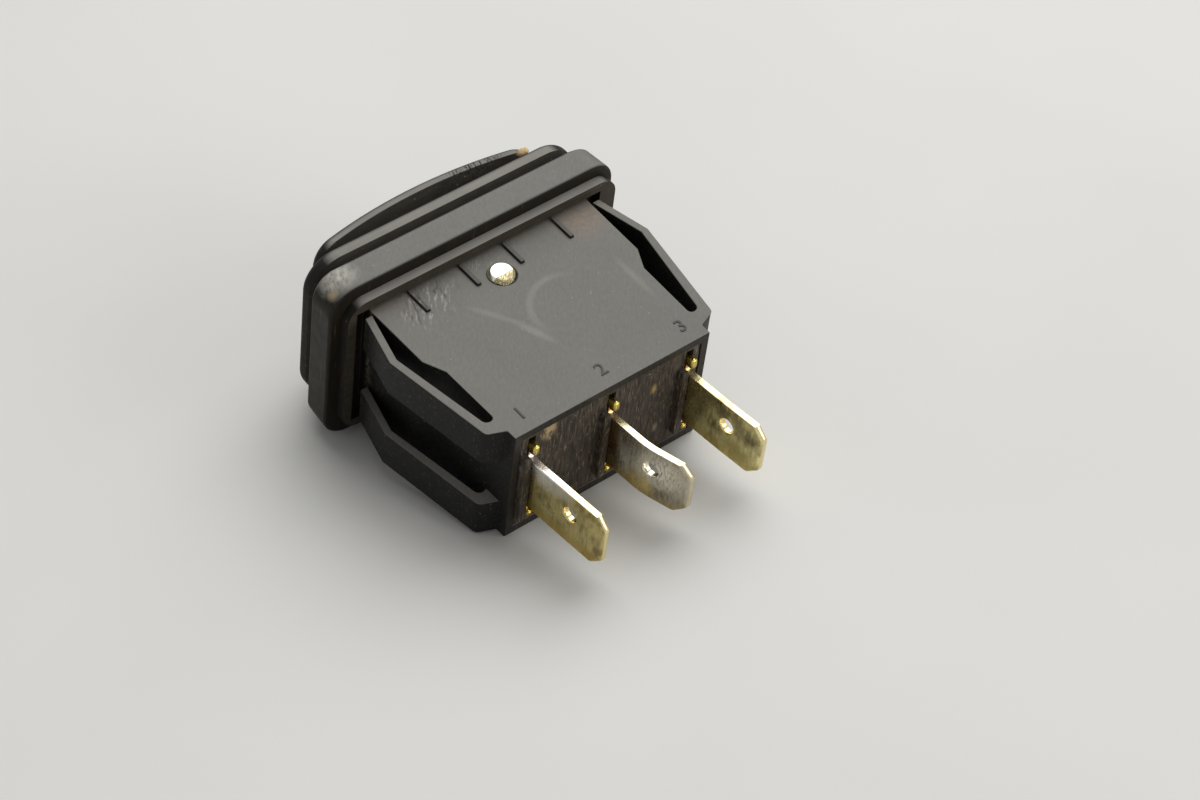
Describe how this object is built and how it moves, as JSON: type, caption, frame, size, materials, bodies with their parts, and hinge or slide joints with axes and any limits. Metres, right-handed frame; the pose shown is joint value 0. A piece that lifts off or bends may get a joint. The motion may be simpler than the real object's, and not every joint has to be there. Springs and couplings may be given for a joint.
{
  "type": "sealed snap-in rocker switch",
  "caption": "Sealed snap-in rocker switch with a rubber bezel boot, springy snap wings, a cross pin and flat tab terminals, the middle one bent over.",
  "frame": {"origin": "centre of the panel opening, on the rear face of the gasket, where the panel's front surface lies", "axes": "+X along the bezel's long side towards terminal 1, +Y through the panel towards the terminals, +Z across the thickness, so the rocker faces -Y and the part lies on a broad side"},
  "size_m": [0.034, 0.0412, 0.0198],
  "materials": {
    "black_nylon": "moulded black nylon, slightly glossy, scuffed",
    "base_laminate": "dark brown thermoset plate with a fibrous grain",
    "gasket_rubber": "soft black rubber, matt",
    "boot_rubber": "moulded black rubber, satin",
    "rocker_rubber": "rubber-faced rocker, satin",
    "pin_steel": "plated steel pin, bright",
    "terminal_brass": "plated brass blade, tarnished",
    "contact_brass": "bright brass strip",
    "contact_silver": "silver alloy rivet",
    "plunger_nylon": "natural nylon",
    "spring_steel": "spring steel wire"
  },
  "bodies": {
    "housing": {"housing": "black_nylon", "panel_gasket": "gasket_rubber", "sealing_boot": "boot_rubber", "pivot_pin": "pin_steel", "terminal_base": "base_laminate", "terminal_1": "terminal_brass", "terminal_2": "terminal_brass", "terminal_3": "terminal_brass", "fixed_contact_1": "contact_silver", "fixed_contact_3": "contact_silver"},
    "rocker": {"rocker": "rocker_rubber", "plunger_spring": "spring_steel"},
    "plunger": {"plunger": "plunger_nylon"},
    "contact_arm": {"contact_arm": "contact_brass", "moving_contact_1": "contact_silver", "moving_contact_3": "contact_silver"}
  },
  "joints": [
    {"name": "rocker_tilt", "type": "hinge", "parent": "housing", "child": "rocker", "pos_m": [0, 0.0031, 0], "axis": [0, 0, 1], "range_deg": [-7, 7], "deforming": ["sealing_boot"]},
    {"name": "plunger_slide", "type": "slide", "parent": "rocker", "child": "plunger", "axis": [0, -1, 0], "range_m": [0, 0.0012], "stiffness_N_per_m": 400, "springref_m": -0.002, "deforming": ["plunger_spring"]},
    {"name": "contact_arm_rock", "type": "hinge", "parent": "housing", "child": "contact_arm", "pos_m": [0, 0.01339, 0], "axis": [0, 0, 1], "range_deg": [-7.2, 7.2]}
  ],
  "couplings": [
    {"joint": "contact_arm_rock", "follows": "rocker_tilt", "ratio": -1}
  ]
}
